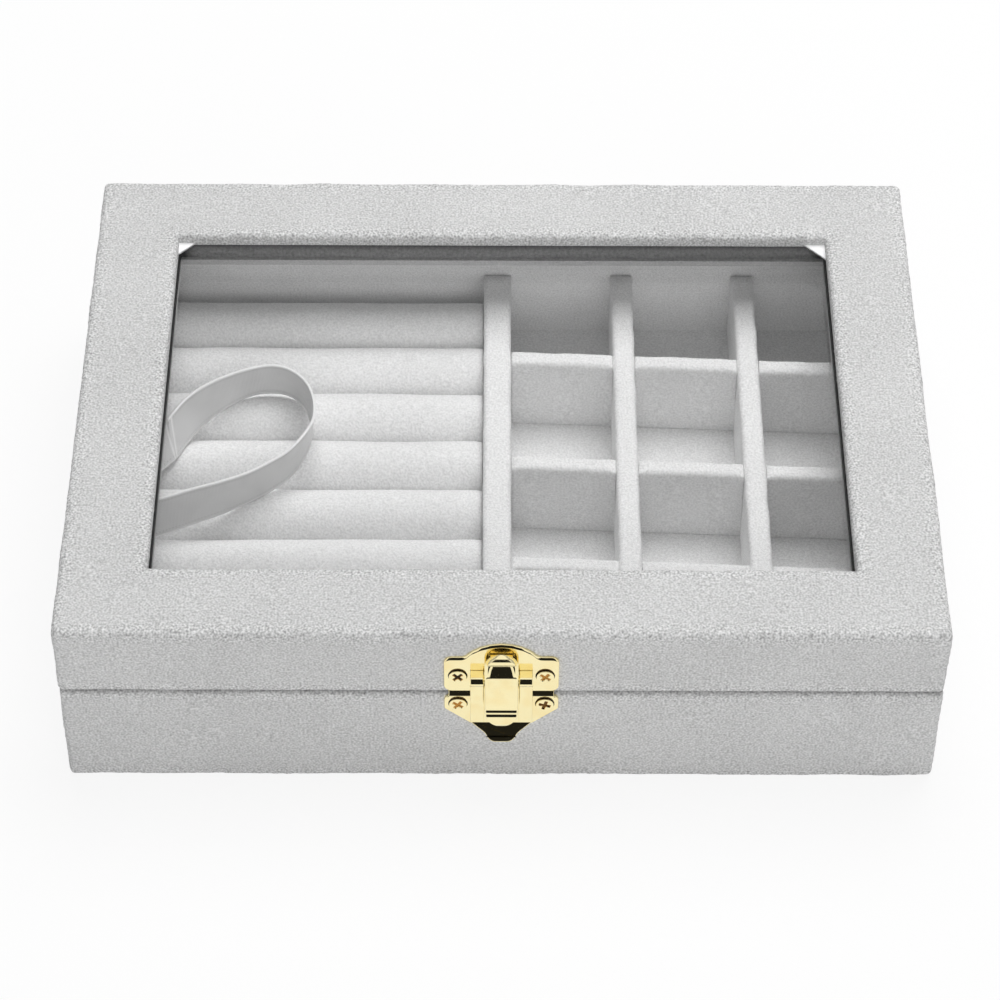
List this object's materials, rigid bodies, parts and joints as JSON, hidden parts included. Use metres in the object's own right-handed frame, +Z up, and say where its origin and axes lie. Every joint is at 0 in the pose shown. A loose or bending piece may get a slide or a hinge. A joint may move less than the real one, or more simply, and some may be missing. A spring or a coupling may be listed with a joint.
{
  "type": "velvet jewelry box",
  "caption": "Low rectangular velvet-covered jewelry box with a hinged glazed lid, ring rolls beside a grid of open compartments, a ribbon lid stay and a sprung front latch.",
  "frame": {"origin": "middle of the underside, where the closed box stands", "axes": "+X to the right along the width, +Y to the hinged rear, +Z up; the latch faces -Y"},
  "size_m": [0.2, 0.1593, 0.05],
  "materials": {
    "velvet": "short pile velvet, light grey",
    "roll_velvet": "velvet over foam, light grey",
    "board": "raw fibreboard",
    "felt": "grey felt",
    "white_card": "matt white card",
    "gasket": "dark foam strip",
    "clear_glass": "clear polished",
    "lining_paper": "matt grey lining",
    "satin_ribbon": "satin weave, light grey",
    "spring_steel": "blued strip",
    "gold_metal": "polished pale gold plate"
  },
  "bodies": {
    "base": {"base_front_wall": "board", "base_hinge_screws": "gold_metal", "base_left_wall": "board", "base_rear_wall": "board", "base_right_wall": "board", "base_velvet_cover": "velvet", "bottom_board": "board", "bottom_felt": "felt", "centre_divider": "velvet", "column_divider_1": "velvet", "column_divider_2": "velvet", "compartment_floor": "velvet", "front_liner": "velvet", "keeper_screws": "gold_metal", "latch_keeper_plate": "gold_metal", "latch_pin": "gold_metal", "latch_spring": "spring_steel", "left_hinge_base_leaf": "gold_metal", "left_hinge_pin": "gold_metal", "left_liner": "velvet", "rear_liner": "velvet", "right_hinge_base_leaf": "gold_metal", "right_hinge_pin": "gold_metal", "right_liner": "velvet", "ring_roll_1": "roll_velvet", "ring_roll_2": "roll_velvet", "ring_roll_3": "roll_velvet", "ring_roll_4": "roll_velvet", "ring_roll_5": "roll_velvet", "ring_roll_6": "roll_velvet", "ring_roll_7": "roll_velvet", "ring_roll_8": "roll_velvet", "ring_tray_card": "velvet", "row_divider_1": "velvet", "row_divider_2": "velvet", "row_divider_3": "velvet", "stay_ribbon": "satin_ribbon"},
    "lid": {"catch_screws": "gold_metal", "glass_pane": "clear_glass", "glazing_bead": "velvet", "latch_catch_plate": "gold_metal", "left_hinge_lid_leaf": "gold_metal", "lid_front_bar": "board", "lid_front_wall": "board", "lid_hinge_screws": "gold_metal", "lid_left_bar": "board", "lid_left_wall": "board", "lid_rear_bar": "board", "lid_rear_wall": "board", "lid_right_bar": "board", "lid_right_wall": "board", "lid_velvet_cover": "velvet", "lid_wall_lining": "lining_paper", "right_hinge_lid_leaf": "gold_metal", "white_corner_card": "white_card", "window_gasket": "gasket"},
    "lever": {"latch_lever": "gold_metal"}
  },
  "joints": [
    {"name": "lid_hinge", "type": "hinge", "parent": "base", "child": "lid", "pos_m": [0, 0.0766, 0.0299], "axis": [-1, 0, 0], "range_deg": [0, 95], "deforming": ["stay_ribbon"]},
    {"name": "latch_press", "type": "hinge", "parent": "base", "child": "lever", "pos_m": [0, -0.0775, 0.03715], "axis": [1, 0, 0], "range_deg": [0, 8], "stiffness_Nm_per_rad": 0.15, "deforming": ["latch_spring"]}
  ]
}
